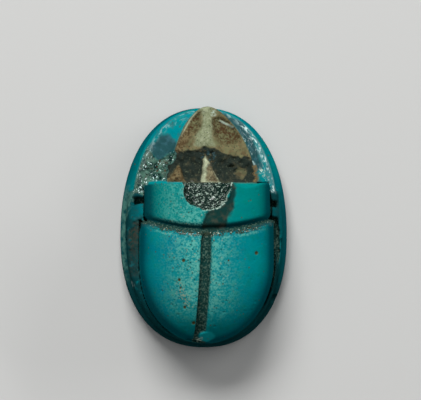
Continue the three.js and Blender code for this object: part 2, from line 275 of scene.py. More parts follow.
def noise(size, seed):
    """Smooth noise in -1..1, with cells of the given size."""
    table = np.random.default_rng(SEED + seed).random((TABLE_SIDE, TABLE_SIDE)) * 2 - 1
    scaled = PLAN / size + 1000.0
    cell = np.floor(scaled).astype(int)
    share = scaled - cell
    share = share * share * (3 - 2 * share)
    total = 0.0
    for corner in np.ndindex(2, 2):
        weight = np.where(corner, share, 1 - share).prod(axis=-1)
        ix, iy = np.moveaxis((cell + corner) % TABLE_SIDE, -1, 0)
        total = total + weight * table[ix, iy]
    return total


def layered_noise(size, seed, layers=3):
    total = 0.0
    for layer in range(layers):
        total = total + noise(size / 2**layer, seed + layer) / 2**layer
    return total


def crystal_facets(size, tilt, seed):
    """Height of a surface broken into small flat facets, each tilted its own way."""
    rng = np.random.default_rng(SEED + seed)
    jitter = rng.random((TABLE_SIDE, TABLE_SIDE, 2))
    slopes = (rng.random((TABLE_SIDE, TABLE_SIDE, 2)) * 2 - 1) * tilt
    levels = (rng.random((TABLE_SIDE, TABLE_SIDE)) * 2 - 1) * tilt * size * 0.5
    cell = np.floor(PLAN / size).astype(int)
    best = np.full(X.shape, np.inf)
    height = np.zeros(X.shape)
    for step in np.ndindex(3, 3):
        near = cell + step - 1
        ix, iy = np.moveaxis(near % TABLE_SIDE, -1, 0)
        sx, sy = np.moveaxis(PLAN - (near + jitter[ix, iy]) * size, -1, 0)
        away = np.hypot(sx, sy)
        facet = levels[ix, iy] + sx * slopes[ix, iy, 0] + sy * slopes[ix, iy, 1]
        height = np.where(away < best, facet, height)
        best = np.minimum(best, away)
    return height


# Outlines and surfaces of the carving, mostly shared with the solid
def plate_egg(inset, inset_at_head):
    """The plate's outline, drawn in by one inset all round and by another at the head."""
    angles = 2 * math.pi * np.arange(EGG_SEGMENTS) / EGG_SEGMENTS
    cosine, sine = np.cos(angles), np.sin(angles)
    front_y = LENGTH / 2 - inset_at_head
    tail_y = -LENGTH / 2 + inset
    reach = np.where(sine > 0, front_y - PLATE_WIDEST_Y, PLATE_WIDEST_Y - tail_y)
    bulge = 2 / PLATE_POWER
    return np.stack([
        (WIDTH / 2 - inset) * np.sign(cosine) * np.abs(cosine) ** bulge,
        PLATE_WIDEST_Y + reach * np.sign(sine) * np.abs(sine) ** bulge,
    ], axis=1)


def back_half_width(y):
    behind = BACK_WIDEST_Y - y
    tail = super_root(behind / (BACK_WIDEST_Y - BACK_TAIL_Y), 2)
    front = super_root(behind / BACK_TAPER_REACH, BACK_TAPER_POWER)
    return BACK_HALF_WIDTH * np.where(behind > 0, tail, front)


def crest_rise(y):
    rise = HEIGHT - WALL_TOP_Z
    fall = CREST_Y - y
    tail = super_root(fall / (CREST_Y - BACK_TAIL_Y), CREST_FALL_POWER)
    front = super_root(fall / CREST_FRONT_REACH, 2)
    return rise * np.where(fall > 0, tail, front)


def dome_height(x, y):
    half_width = np.maximum(back_half_width(y), ARRIS)
    return WALL_TOP_Z + crest_rise(y) * super_root(x / half_width, BACK_ROUNDNESS)


def thorax_rear(x):
    return THORAX_REAR_Y + THORAX_REAR_BOW * (x / BACK_HALF_WIDTH) ** 2


def wing_front(x):
    return thorax_rear(x) - THORAX_GROOVE_WIDTH


def suture_side(side):
    """The left (-1) or right (1) edge of the groove between the wing cases."""
    share = np.clip((THORAX_REAR_Y - Y) / (THORAX_REAR_Y - BACK_TAIL_Y), 0, 1)
    middle = mix(SUTURE_FRONT_X, SUTURE_TAIL_X, share)
    flare = SUTURE_FLARE if side > 0 else 0.0
    return middle + side * SUTURE_WIDTH / 2 + flare - SUTURE_VEER * share**2


def back_outline():
    tail = BACK_WIDEST_Y - BACK_TAIL_Y
    angles = np.linspace(0, math.pi, TAIL_SEGMENTS)
    behind = [(-BACK_HALF_WIDTH * math.cos(a), BACK_WIDEST_Y - tail * math.sin(a)) for a in angles]
    rows = np.linspace(BACK_WIDEST_Y, THORAX_FRONT_Y, SIDE_SEGMENTS)[1:]
    right = [(float(back_half_width(y)), y) for y in rows]
    left = [(-x, y) for x, y in reversed(right)]
    return behind + right + left


def slope_share(height):
    """How much a vertical gap shrinks when measured square to a sloping surface."""
    gx, gy = np.gradient(height, SPACING)
    return 1 / np.sqrt(1 + np.minimum(gx * gx + gy * gy, 30.0))


def head_share(y):
    return (y - THORAX_FRONT_Y) / (HEAD_TIP_Y - THORAX_FRONT_Y)


def head_middle(y):
    return mix(HEAD_REAR_X, HEAD_TIP_X, head_share(y))


def head_height(x, y):
    aside = np.abs(x - head_middle(y)) / HEAD_HALF_WIDTH
    slope = mix(HEAD_REAR_Z, CLYPEUS_TIP_Z, head_share(y))
    return slope - KEEL_HEIGHT * np.minimum(1, 2 * aside) - KEEL_HEIGHT * aside


def head_outline():
    points = []
    for aside in np.linspace(1, -1, HEAD_SEGMENTS):
        y = mix(THORAX_FRONT_Y, HEAD_TIP_Y, 1 - aside**2)
        bulge = HEAD_RIGHT_BULGE * math.sin(math.pi * head_share(y)) if aside > 0 else 0.0
        points.append((head_middle(y) + aside * HEAD_HALF_WIDTH + bulge, y))
    rear_y = THORAX_FRONT_Y - THORAX_GROOVE_WIDTH
    points.append((HEAD_REAR_X - HEAD_HALF_WIDTH, rear_y))
    points.append((HEAD_REAR_X + HEAD_HALF_WIDTH, rear_y))
    return points


# Signed distances in the plane to each outline
D_PLATE = plan_distance(plate_egg(0.0, 0.0))
D_FOOT = plan_distance(plate_egg(LEDGE, LEDGE_AT_HEAD))
FRONT_LEG = np.clip((Y - FRONT_LEG_REAR_Y) / FRONT_LEG_BLEND, 0, 1)
LEG_SPREAD = np.where(X < 0, LEFT_LEG_SPREAD, RIGHT_LEG_SPREAD)
D_ARRIS = plan_distance(plate_egg(LEDGE + LEG_LEAN, LEDGE_AT_HEAD + LEG_LEAN_AT_HEAD))
D_ARRIS = D_ARRIS - LEG_SPREAD * (1 - FRONT_LEG)
D_RECESS = plan_distance(plate_egg(LEDGE + LEG_RECESS_DEPTH, LEDGE_AT_HEAD + LEG_RECESS_DEPTH))
D_BACK = plan_distance(back_outline())
D_BACK = D_BACK + LEFT_WING_INSET * fade(-6.5, -3.0, Y) * fade(0.0, -1.0, X)
D_HEAD = plan_distance(head_outline())

# The thorax is a little narrower than the wing cases and sits to the right of the middle
THORAX_SIDE = np.abs(X - THORAX_MIDDLE_X) - THORAX_HALF_WIDTH
ON_THORAX = Y > thorax_rear(X) - THORAX_GROOVE_WIDTH / 2
THORAX_DOME = dome_height((X - THORAX_MIDDLE_X) * back_half_width(Y) / THORAX_HALF_WIDTH, Y)
DOME = np.where(ON_THORAX, THORAX_DOME, dome_height(X, Y))
D_BODY = np.where(ON_THORAX, np.maximum(D_BACK, THORAX_SIDE), D_BACK)

# The notch between the front and middle legs is nearer the tail on the right
NOTCH_MIDDLE_Y = LEG_NOTCH_Y - np.where(X > 0, RIGHT_NOTCH_SHIFT, LEFT_NOTCH_SHIFT)
D_NOTCH = np.abs(Y - NOTCH_MIDDLE_Y) - NOTCH_HALF_WIDTH

# Breaks, stains and marks, as outlines in the plan, or as a centre and a radius
BAND_OUTLINE = [
    (-3.2, 2.6), (3.7, 2.6), (3.75, 3.9), (3.45, 4.75), (2.2, 5.0), (1.3, 5.25),
    (0.6, 5.6), (-0.2, 5.65), (-0.9, 5.45), (-1.8, 5.35), (-2.6, 5.5), (-3.2, 4.9),
]
SPUR_OUTLINE = [
    (-0.5, 2.6), (1.0, 2.6), (0.75, 3.4), (0.35, 4.2), (-0.05, 4.95), (-0.25, 4.6), (-0.3, 3.8),
]
SPUR_CORE_OUTLINE = [(-0.08, 3.15), (0.75, 3.1), (0.55, 3.8), (0.3, 4.35), (0.03, 4.55)]
WEDGE_OUTLINE = [(-2.85, 3.2), (-2.19, 4.01), (-1.97, 4.45), (-1.8, 3.87), (-1.5, 3.1)]
KEEL_OUTLINE = [
    (-0.6, 8.6), (0.4, 8.6), (0.45, 6.45), (0.6, 5.6), (-0.5, 5.6), (-0.9, 5.7), (-0.8, 6.3),
    (-0.35, 7.0), (-0.28, 8.0),
]
LEFT_FACET_OUTLINE = [(-1.0, 8.1), (-0.35, 8.1), (-0.38, 7.07), (-0.85, 6.5), (-1.4, 6.8), (-1.5, 7.2)]
LEFT_TAN_OUTLINE = [(-1.35, 6.9), (-0.85, 6.57), (-1.28, 6.07), (-1.64, 5.3), (-2.4, 5.3), (-2.05, 6.25)]
RIGHT_FACET_OUTLINE = [
    (0.5, 7.7), (0.95, 7.85), (1.65, 7.5), (2.2, 6.95), (2.45, 6.2), (2.08, 5.7), (1.08, 5.85),
    (0.52, 6.4),
]
CHIP_ARCS_CENTRE = (-0.6, 3.6, 6.0)
CHIP_OUTLINE = [
    (-1.9, 4.2), (1.7, 4.2), (1.66, 2.95), (1.58, 2.4), (1.3, 1.83), (0.75, 1.35), (0.1, 1.08),
    (-0.4, 1.15), (-1.05, 1.4), (-1.5, 1.65), (-1.65, 2.0), (-1.75, 2.5),
]
STREAK_OUTLINE = [
    (1.6, 3.1), (1.98, 3.0), (2.0, 2.1), (1.88, 1.4), (1.65, 0.9), (1.4, 0.3), (1.3, -0.2),
    (-0.35, -0.2), (-0.34, 0.76), (-0.05, 1.1), (0.6, 1.4), (1.2, 2.0),
]
RAGGED_LEG_OUTLINE = [
    (-5.45, 2.3), (-4.3, 2.25), (-4.2, 3.3), (-2.6, 3.3), (-1.9, 4.5), (-1.8, 5.5), (-2.8, 5.2),
    (-3.3, 4.8), (-3.7, 5.3), (-4.1, 5.9), (-4.6, 5.6), (-5.1, 4.2),
]
LEFT_SLATE_OUTLINE = [
    (-4.1, 5.6), (-3.7, 6.05), (-3.25, 6.45), (-2.5, 6.55), (-1.9, 5.7), (-2.2, 4.8), (-3.0, 4.4),
    (-3.9, 4.8),
]
RIGHT_SLATE_OUTLINE = [
    (1.3, 8.0), (2.45, 7.55), (3.31, 6.3), (3.78, 5.34), (4.05, 4.1), (3.0, 3.9), (2.4, 5.3), (1.6, 6.9),
]
BROWN_LEG_OUTLINE = [
    (-4.3, 0.95), (-4.9, 0.6), (-5.3, -0.1), (-5.45, -1.0), (-5.4, -3.4), (-4.7, -3.5), (-4.4, -1.4),
]
DARK_GAP_OUTLINE = [(4.7, 0.75), (5.1, 0.75), (5.32, -0.3), (5.36, -2.2), (5.1, -2.9), (4.85, -1.0)]
LEFT_KNOB_OUTLINE = [(-5.4, 1.6), (-4.3, 1.65), (-4.3, 0.8), (-4.8, 0.45), (-5.4, 0.6)]
RIGHT_KNOB_OUTLINE = [(4.65, 1.5), (5.2, 1.5), (5.28, 0.7), (4.7, 0.75)]
HEAD_SCRATCH_OUTLINE = [(0.93, 7.47), (0.98, 7.56), (2.0, 7.06), (1.95, 6.98)]
COLOURED_FLECKS_OUTLINE = [(-0.5, 5.35), (0.7, 5.35), (0.6, 4.3), (-0.1, 4.2), (-0.3, 4.6)]
PALE_PATCH = (2.45, 3.8, 0.36)
ORANGE_STRIP_OUTLINE = [(3.3, 2.9), (3.9, 2.9), (3.72, 3.6), (3.5, 4.6), (3.35, 4.3)]
GLASSY_BIT = (0.55, 7.98, 0.2)
BROWN_PITS = [
    (-1.72, -2.4, 0.13), (-2.0, -3.75, 0.12), (-1.6, -5.65, 0.12), (3.4, -1.87, 0.14), (1.42, -2.4, 0.09),
    (-3.1, -2.2, 0.07), (-1.9, -4.3, 0.1), (-0.95, -6.75, 0.14), (-2.6, 1.7, 0.08), (3.0, 1.8, 0.08),
]
TAIL_LUMP = (-0.02, -7.66, 0.52)
RIM_CHIP = (5.02, -5.05, 1.5, 0.32)
LEG_GLINT = (-5.2, -4.1)
# Painted glints: pale spots beside the orange strip and at the tail end
PALE_SPARKS = [(3.97, 3.95, 0.2), (4.1, 3.65, 0.12), (-0.5, -7.9, 0.16)]
TAN_RUB_OUTLINE = [(-2.2, -4.1), (-1.8, -3.95), (-1.35, -4.9), (-1.15, -5.6), (-1.5, -5.75), (-1.9, -5.0)]

# Coarse and fine unevenness of edges
warp = layered_noise(0.7, 40)
fine_warp = layered_noise(0.25, 44)


def frayed(coarse, fine, *outlines):
    """Distance to the nearest of some outlines, with coarse and fine unevenness along the edge."""
    nearest = np.min([plan_distance(outline) for outline in outlines], axis=0)
    return nearest + coarse * warp + fine * fine_warp


def spot_distance(cx, cy, radius):
    return np.hypot(X - cx, Y - cy) - radius


D_BAND = frayed(0.1, 0.07, BAND_OUTLINE)
D_SPUR = frayed(0.0, 0.05, SPUR_OUTLINE)
D_SPUR_CORE = frayed(0.0, 0.08, SPUR_CORE_OUTLINE)
D_WEDGE = frayed(0.0, 0.06, WEDGE_OUTLINE)
D_KEEL = frayed(0.0, 0.12, KEEL_OUTLINE)
D_FACET = frayed(0.0, 0.12, LEFT_FACET_OUTLINE, RIGHT_FACET_OUTLINE)
D_HEAD_TAN = frayed(0.0, 0.1, LEFT_TAN_OUTLINE)
D_SCRATCH = frayed(0.0, 0.02, HEAD_SCRATCH_OUTLINE)
D_FLECKS = frayed(0.0, 0.1, COLOURED_FLECKS_OUTLINE)
D_ORANGE = frayed(0.0, 0.14, ORANGE_STRIP_OUTLINE)
D_CHIP = frayed(0.1, 0.06, CHIP_OUTLINE)
D_STREAK = frayed(0.16, 0.06, STREAK_OUTLINE)
D_TAN_RUB = frayed(0.0, 0.2, TAN_RUB_OUTLINE)
D_RAGGED = frayed(0.15, 0.0, RAGGED_LEG_OUTLINE)
D_SLATE = frayed(0.1, 0.0, LEFT_SLATE_OUTLINE, RIGHT_SLATE_OUTLINE)
D_BROWN_LEG = frayed(0.12, 0.12, BROWN_LEG_OUTLINE)
D_DARK_GAP = frayed(0.0, 0.04, DARK_GAP_OUTLINE)
D_KNOB = frayed(0.0, 0.08, LEFT_KNOB_OUTLINE, RIGHT_KNOB_OUTLINE)
D_PALE = spot_distance(*PALE_PATCH) + 0.16 * fine_warp
D_GLASSY = spot_distance(*GLASSY_BIT) + 0.08 * fine_warp
D_SPARKS = np.min([spot_distance(*spark) for spark in PALE_SPARKS], axis=0) + 0.1 * fine_warp
D_LUMP = np.hypot(X - TAIL_LUMP[0], (Y - TAIL_LUMP[1]) * LUMP_SQUASH) - TAIL_LUMP[2] + 0.16 * warp
STEEPNESS = np.hypot(*np.gradient(DOME, SPACING))
D_SUTURE = np.maximum(suture_side(-1) - X, X - suture_side(1))
D_THORAX_GROOVE = BOW_SHRINK * np.maximum(Y - thorax_rear(X), wing_front(X) - Y)
D_GROOVE = np.minimum(np.maximum(D_SUTURE, Y - thorax_rear(X)), D_THORAX_GROOVE)


def crater(cx, cy, radius):
    """Depth of a small round pit at every grid point."""
    inside = np.hypot(X - cx, Y - cy) / radius
    return radius * PIT_DEPTH_SHARE * np.clip(1 - inside**2, 0, 1)


def scattered_pits(count, low, high, smallest, largest, seed):
    rng = np.random.default_rng(SEED + seed)
    depth = np.zeros(X.shape)
    for _ in range(count):
        cx, cy = rng.uniform(low, high)
        depth = np.maximum(depth, crater(cx, cy, rng.uniform(smallest, largest)))
    return depth


BROWN_PIT_DEPTH = np.max([crater(*pit) for pit in BROWN_PITS], axis=0)


def back_surface():
    """Top of the wing cases and thorax: the dome, a little uneven and pitted."""
    waves = 0.03 * layered_noise(2.2, 50, 2) + 0.012 * layered_noise(0.5, 53, 2)
    scars = np.maximum(scattered_pits(*WING_SCARS), scattered_pits(*THORAX_SCARS))
    return DOME + waves - np.maximum(scars, BROWN_PIT_DEPTH)


def thorax_surface():
    """The thorax with the bowl of its break, rough with crystals, and the dark streak."""
    chip_inside = np.clip(-D_CHIP, 0, 3)
    bowl = THORAX_CHIP_DEPTH * (1 - np.exp(-chip_inside / 0.35))
    facets = crystal_facets(0.24, 0.9, 60) + 0.5 * crystal_facets(0.13, 0.9, 61)
    broken = fade(0.0, 0.15, chip_inside)
    streak = STREAK_DEPTH * fade(0.08, -0.3, D_STREAK)
    return back_surface() - bowl + broken * facets - np.maximum(streak - bowl, 0)


def core_surface():
    """The floor of the grooves."""
    return DOME - GROOVE_DEPTH + 0.04 * layered_noise(0.35, 64)


def head_surface():
    """The broken head: bare stone with a keel, hollows and the sunk dark band."""
    edge = 0.25 * fade(0.08, -0.25, D_BAND) + 0.75 * fade(-0.1, -1.2, D_BAND)
    raised_stone = np.minimum(D_SPUR, D_WEDGE)
    sink = HEAD_SINK * edge * fade(-0.15, 0.12, raised_stone)
    hollow = FACET_DEPTH * fade(0.1, -0.4, D_FACET) + TAN_DEPTH * fade(0.1, -0.4, D_HEAD_TAN)
    crown = KEEL_CROWN * fade(0.0, -0.4, D_KEEL)
    crown = crown + SCRATCH_RISE * fade(0.05, -0.02, D_SCRATCH)
    stone = 0.05 * layered_noise(0.6, 70) + 0.3 * crystal_facets(0.3, 0.25, 71)
    rough_floor = 0.1 * layered_noise(0.3, 72) * fade(0.0, -0.2, D_BAND)
    return head_height(X, Y) - sink - hollow + crown + stone + rough_floor


def belt_surface():
    """The tops of the legs, with lumps along the front ones and the ragged place on the left."""
    rise = LEG_TOP_RISE * np.clip(-D_ARRIS / LEG_TOP_WIDTH, 0, 1)
    ragged = fade(0.1, -0.2, D_RAGGED)
    facets = crystal_facets(0.22, 1.0, 80) + 0.12 * layered_noise(0.5, 81)
    hollow = BROWN_LEG_DEPTH * fade(0.05, -0.3, D_BROWN_LEG)
    hollow = hollow + DARK_GAP_DEPTH * fade(0.05, -0.15, D_DARK_GAP)
    strokes = np.sin((Y + 0.5 * np.abs(X)) * 2 * math.pi / STROKE_SPACING) * fade(-0.5, 0.3, Y)
    strokes = STROKE_HEIGHT * strokes * fade(0.02, -0.1, D_BROWN_LEG)
    waves = 0.05 * layered_noise(0.9, 82) + 0.02 * layered_noise(0.3, 83)
    lumps = 0.1 * layered_noise(0.75, 84, 2) + 0.05 * crystal_facets(0.6, 0.7, 87)
    lumps = FRONT_LEG * bell(D_ARRIS, 0.4) * lumps
    return LEG_TOP_Z + rise + ragged * (0.6 * facets - 0.1) - hollow + strokes + waves + lumps


def above_surface(top):
    """Distance over a surface given by its height in the plan."""
    return (ZS - top[..., None]) * slope_share(top)[..., None]


def height_field(distance, top, radius):
    """Field of a solid that fills a plan outline up to a surface, with a rounded upper edge."""
    return rounded_max(distance[..., None], above_surface(top), radius)


def leaning_field(distance, lean, top, radius):
    """The same, with walls that lean out by a share of the depth, down to the groove's floor."""
    depth = np.clip(top[..., None] - ZS, 0, GROOVE_DEPTH)
    return rounded_max(distance[..., None] - lean[..., None] * depth, above_surface(top), radius)


def wing_field(side, top):
    """The left (-1) or right (1) wing case."""
    side_round, suture_lean = LEFT_WING_ROUND, LEFT_SUTURE_LEAN
    if side > 0:
        side_round, suture_lean = RIGHT_WING_ROUND, RIGHT_SUTURE_LEAN
    inner = side * (suture_side(side) - X)
    front = (Y - wing_front(X)) * BOW_SHRINK
    outline = rounded_max(rounded_max(inner, front, WING_CORNER_ROUND), D_BACK, side_round)
    lean = np.maximum(
        suture_lean * near_edge(inner, SUTURE_LEAN_REACH),
        WING_FRONT_LEAN * near_edge(front, FRONT_LEAN_REACH),
    )
    return leaning_field(outline, lean, top, WING_RIM_ROUND)


def thorax_field():
    rear = (thorax_rear(X) + THORAX_REAR_INSET - Y) * BOW_SHRINK
    dent = THORAX_DENT_DEPTH * bell(X - THORAX_DENT_X, THORAX_DENT_WIDTH)
    front = Y - THORAX_FRONT_Y + 0.03 * warp + dent
    outline = rounded_max(rounded_max(rear, front, THORAX_CORNER_ROUND), THORAX_SIDE, THORAX_SIDE_ROUND)
    lean = THORAX_REAR_LEAN * near_edge(rear, FRONT_LEAN_REACH)
    return leaning_field(outline, lean, thorax_surface(), ARRIS)


def side_polygon(corners):
    """Distance to a shape drawn as seen from the side, over the grid's rows and levels."""
    rows, levels = np.meshgrid(YS, ZS, indexing="ij")
    return plan_distance(corners, rows, levels)[None, :, :]


def leg_cuts():
    """The slit between the middle and hind legs, and the sunk places under the knees."""
    knee_z = PLATE_THICKNESS + LEG_RECESS_HEIGHT
    notch_front = LEG_NOTCH_Y + LEG_NOTCH_WIDTH / 2
    slit = side_polygon([
        (MIDDLE_LEG_Y, knee_z),
        (MIDDLE_LEG_Y - LEG_SLIT_WIDTH, SLIT_TOP_Z),
        (MIDDLE_LEG_Y - 2 * LEG_SLIT_WIDTH, SLIT_TOP_Z),
    ])
    under_hind = side_polygon([
        (HIND_LEG_FOOT_Y, PLATE_THICKNESS),
        (MIDDLE_LEG_Y - LEG_SLIT_WIDTH, PLATE_THICKNESS),
        (MIDDLE_LEG_Y - LEG_SLIT_WIDTH, knee_z),
    ])
    under_front = side_polygon([
        (notch_front + LEG_SLIT_WIDTH, PLATE_THICKNESS),
        (FRONT_LEG_FOOT_Y, PLATE_THICKNESS),
        (notch_front + LEG_SLIT_WIDTH, knee_z),
    ])
    sunk = np.minimum(np.minimum(slit, under_hind), under_front)
    return np.maximum(sunk, -D_RECESS[..., None])


def leg_ends(side):
    """The belt split by the notch between the front and middle legs, whose ends are rounded."""
    sill_z = NOTCH_FLOOR_Z + NOTCH_WALL_HEIGHT * fade(-0.65, -0.4, D_FOOT)
    front = (NOTCH_MIDDLE_Y + NOTCH_HALF_WIDTH - Y + 0.05 * warp)[..., None]
    rear = (Y - NOTCH_MIDDLE_Y + NOTCH_HALF_WIDTH + 0.05 * warp)[..., None]
    knee_round = np.where(X < 0, LEFT_KNEE_ROUND, RIGHT_KNEE_ROUND)[..., None]
    split = np.minimum(rounded_max(side, front, FRONT_LEG_END_ROUND), rounded_max(side, rear, knee_round))
    return np.minimum(split, rounded_max(side, ZS - sill_z[..., None], SILL_ROUND))


def belt_field():
    """The belt of legs around the body, apart from it by a channel."""
    share = np.clip((ZS - PLATE_THICKNESS) / LEG_HEIGHT, 0, 1)
    leaned = D_FOOT[..., None] * (1 - share) + D_ARRIS[..., None] * share
    side = leg_ends(leaned * math.cos(math.atan(LEG_LEAN / LEG_HEIGHT)))
    rim_round = mix(BELT_RIM_ROUND, FRONT_LEG_RIM_ROUND, FRONT_LEG)[..., None]
    belt = rounded_max(side, above_surface(belt_surface()), rim_round)
    behind = np.where(X < 0, LEFT_GAP_SHARE, RIGHT_GAP_SHARE)
    gap_width = mix(behind, FRONT_GAP_SHARE, FRONT_LEG) * BODY_GAP
    gap_floor = LEG_TOP_Z - BODY_GAP_DEPTH * mix(behind + 0.1, 0.0, FRONT_LEG)
    channel = np.maximum((D_BODY - gap_width)[..., None], gap_floor[..., None] - ZS)
    belt = rounded_max(belt, -channel, CHANNEL_ROUND)
    return rounded_max(belt, 0.05 * warp[..., None] - leg_cuts(), LEG_CUT_ROUND)


def plate_field():
    half = PLATE_THICKNESS / 2
    return rounded_max(D_PLATE[..., None], np.abs(ZS - half)[None, None, :] - half, PLATE_EDGE)


def scarab_field():
    """The whole carving: negative inside the stone, in millimetres."""
    top = back_surface()
    field = rounded_min(plate_field(), belt_field(), BELT_FOOT_FILLET)
    field = np.minimum(field, height_field(D_HEAD, head_surface(), HEAD_RIM_ROUND))
    field = np.minimum(field, height_field(D_BODY + ARRIS, core_surface(), CORE_ROUND))
    field = np.minimum(field, wing_field(-1, top))
    field = np.minimum(field, wing_field(1, top))
    field = np.minimum(field, thorax_field())
    lump = height_field(D_LUMP, DOME - LUMP_SINK + 0.1 * warp, LUMP_ROUND)
    field = rounded_min(field, lump, LUMP_FILLET)
    cx, cy, cz, radius = RIM_CHIP
    nick = np.hypot(np.hypot(X - cx, Y - cy)[..., None], ZS - cz) - radius
    field = np.maximum(field, -nick)
    hole = np.hypot(X[:, :1, None], ZS - HOLE_Z) - HOLE_DIAMETER / 2
    field = rounded_max(field, -hole, HOLE_ROUND)
    return np.maximum(field, -ZS)


# Meshing of the field
CORNERS = np.array([(i, j, k) for i in (0, 1) for j in (0, 1) for k in (0, 1)])
EDGES = [
    (a, b) for a in range(8) for b in range(a + 1, 8) if np.abs(CORNERS[a] - CORNERS[b]).sum() == 1
]


def surface_net(field):
    """One vertex in each grid cell that the surface crosses, and a quad around each crossed edge."""
    inside = field < 0
    sizes = np.array(field.shape) - 1
    count = np.zeros(sizes, np.int8)
    for i, j, k in CORNERS:
        count += inside[i:i + sizes[0], j:j + sizes[1], k:k + sizes[2]]
    cells = np.argwhere((count > 0) & (count < 8))
    values = np.stack([field[tuple((cells + corner).T)] for corner in CORNERS], axis=1)
    total = np.zeros(cells.shape, float)
    crossings = np.zeros(len(cells))
    for a, b in EDGES:
        crossed = (values[:, a] < 0) != (values[:, b] < 0)
        gap = np.where(crossed, values[:, a] - values[:, b], 1.0)
        share = np.where(crossed, values[:, a] / gap, 0.0)[:, None]
        place = CORNERS[a] + share * (CORNERS[b] - CORNERS[a])
        total += np.where(crossed[:, None], place, 0.0)
        crossings += crossed
    index = np.full(sizes, -1, np.int32)
    index[tuple(cells.T)] = np.arange(len(cells))
    vertices = cells + total / crossings[:, None]
    quads = []
    for axis in range(3):
        other = [a for a in range(3) if a != axis]
        low = [slice(1, -1)] * 3
        low[axis] = slice(0, -1)
        high = list(low)
        high[axis] = slice(1, None)
        start, end = inside[tuple(low)], inside[tuple(high)]
        crossed = np.argwhere(start != end)
        crossed[:, other[0]] += 1
        crossed[:, other[1]] += 1
        leaving = inside[tuple(crossed.T)]
        ring = []
        for da, db in ((-1, -1), (0, -1), (0, 0), (-1, 0)):
            cell = crossed.copy()
            cell[:, other[0]] += da
            cell[:, other[1]] += db
            ring.append(index[tuple(cell.T)])
        quad = np.stack(ring, axis=1)
        if axis == 1:
            leaving = ~leaving
        quad[~leaving] = quad[~leaving][:, ::-1]
        quads.append(quad)
    return vertices, np.concatenate(quads)


def sample(grid, places):
    """Value of a grid of two or three dimensions at places given in its steps."""
    base = np.clip(np.floor(places).astype(int), 0, np.array(grid.shape) - 2)
    share = places - base
    total = 0.0
    for corner in np.ndindex(*(2,) * grid.ndim):
        weight = np.prod(np.where(corner, share, 1 - share), axis=1)
        total = total + weight * grid[tuple((base + corner).T)]
    return total


def relaxed(vertices, quads, rounds, field):
    """Evens out the vertices and draws them back to the surface."""
    for _ in range(rounds):
        total = np.zeros_like(vertices)
        count = np.zeros(len(vertices))
        for a, b in ((0, 1), (1, 2), (2, 3), (3, 0)):
            np.add.at(total, quads[:, a], vertices[quads[:, b]])
            np.add.at(count, quads[:, a], 1)
        vertices = 0.5 * vertices + 0.5 * total / count[:, None]
        value = sample(field, vertices)
        slope = np.stack([
            sample(field, vertices + step) - sample(field, vertices - step)
            for step in 0.5 * np.eye(3)
        ], axis=1)
        steepness = np.maximum((slope * slope).sum(axis=1), 1e-9)
        move = -slope * (value / steepness)[:, None]
        vertices = vertices + np.clip(move, -0.5, 0.5)
    return vertices


def grid_to_mm(vertices):
    return np.array([XS[0], YS[0], ZS[0]]) + vertices * SPACING


def new_object(name, data):
    made = bpy.data.objects.new(name, data)
    bpy.context.scene.collection.objects.link(made)
    return made


def quad_mesh(name, places, quads):
    mesh = bpy.data.meshes.new(name)
    mesh.from_pydata(places, [], quads)
    mesh.validate()
    mesh.shade_smooth()
    return mesh


def thinned(mesh, most_triangles):
    """A copy of a mesh with fewer faces, taken first where the surface is flat."""
    dense = new_object("dense", mesh)
    triangles = 2 * len(mesh.polygons)
    dense.modifiers.new("thin", "DECIMATE").ratio = min(1.0, most_triangles / triangles)
    depsgraph = bpy.context.evaluated_depsgraph_get()
    made = bpy.data.meshes.new_from_object(dense.evaluated_get(depsgraph))
    bpy.data.objects.remove(dense)
    bpy.data.meshes.remove(mesh)
    return made


def vertex_places(mesh):
    places = np.empty(len(mesh.vertices) * 3, np.float32)
    mesh.vertices.foreach_get("co", places)
    return places.reshape(-1, 3).astype(float)


def build_places():
    field = scarab_field()
    vertices, quads = surface_net(field)
    vertices = relaxed(vertices, quads, RELAX_ROUNDS, field)
    places = grid_to_mm(vertices)
    places[:, 2] = np.where(places[:, 2] < SPACING, np.maximum(places[:, 2], 0), places[:, 2])
    return places, quads


def at_plan(grid, places):
    """Value of a plan grid at points in millimetres."""
    return sample(grid, (places[:, :2] - (XS[0], YS[0])) / SPACING)


class Surface:
    """The places of the vertices, and masks in 0..1 of the main regions that they lie in."""

    def __init__(self, places):
        self.places = places
        self.x, self.y, self.z = x, y, z = places.T
        self.body = self.at(D_BODY)
        self.head = self.at(D_HEAD)
        self.arris = self.at(D_ARRIS)
        self.depth = self.at(DOME) - z
        self.behind_thorax = self.at(thorax_rear(X)) - y
        self.behind_groove = self.at(wing_front(X) + 0.06 * fine_warp) - y
        self.right_side = fade(-1.5, 0.5, x)
        self.on_back = fade(0.05, -0.05, self.body) * fade(THORAX_FRONT_Y + 0.1, THORAX_FRONT_Y - 0.05, y)
        fray = fade(5.6, 4.8, y) * fade(0.0, -1.0, x) * (0.12 + 0.3 * self.at(warp))
        self.on_head = fade(0.1, 0.0, self.head + fray) * fade(LEG_TOP_Z + 0.1, LEG_TOP_Z + 0.4, z)
        self.on_head *= fade(THORAX_FRONT_Y - 0.12, THORAX_FRONT_Y + 0.02, y)
        self.broken = fade(0.03, -0.06, self.at(D_CHIP)) * fade(WALL_TOP_Z, WALL_TOP_Z + 1.0, z)
        self.broken *= fade(THORAX_FRONT_Y + 0.15, THORAX_FRONT_Y, y)
        self.lump = fade(0.08, -0.2, self.at(D_LUMP))
        on_legs = fade(2.2, 2.8, z) * (1 - self.on_back) * (1 - self.on_head)
        self.ragged = fade(0.08, -0.12, self.at(D_RAGGED)) * on_legs
        self.front_leg = fade(2.3, 2.6, y) * on_legs
        self.low = fade(LEG_TOP_Z + 1.0, LEG_TOP_Z, z) * fade(0.3, 0.8, z) * (1 - self.on_back)

    def at(self, grid):
        return at_plan(grid, self.places)

    def patch(self, grid, soft=0.08):
        """The inside of an outline, from the distance to it."""
        return fade(soft, -soft, self.at(grid))


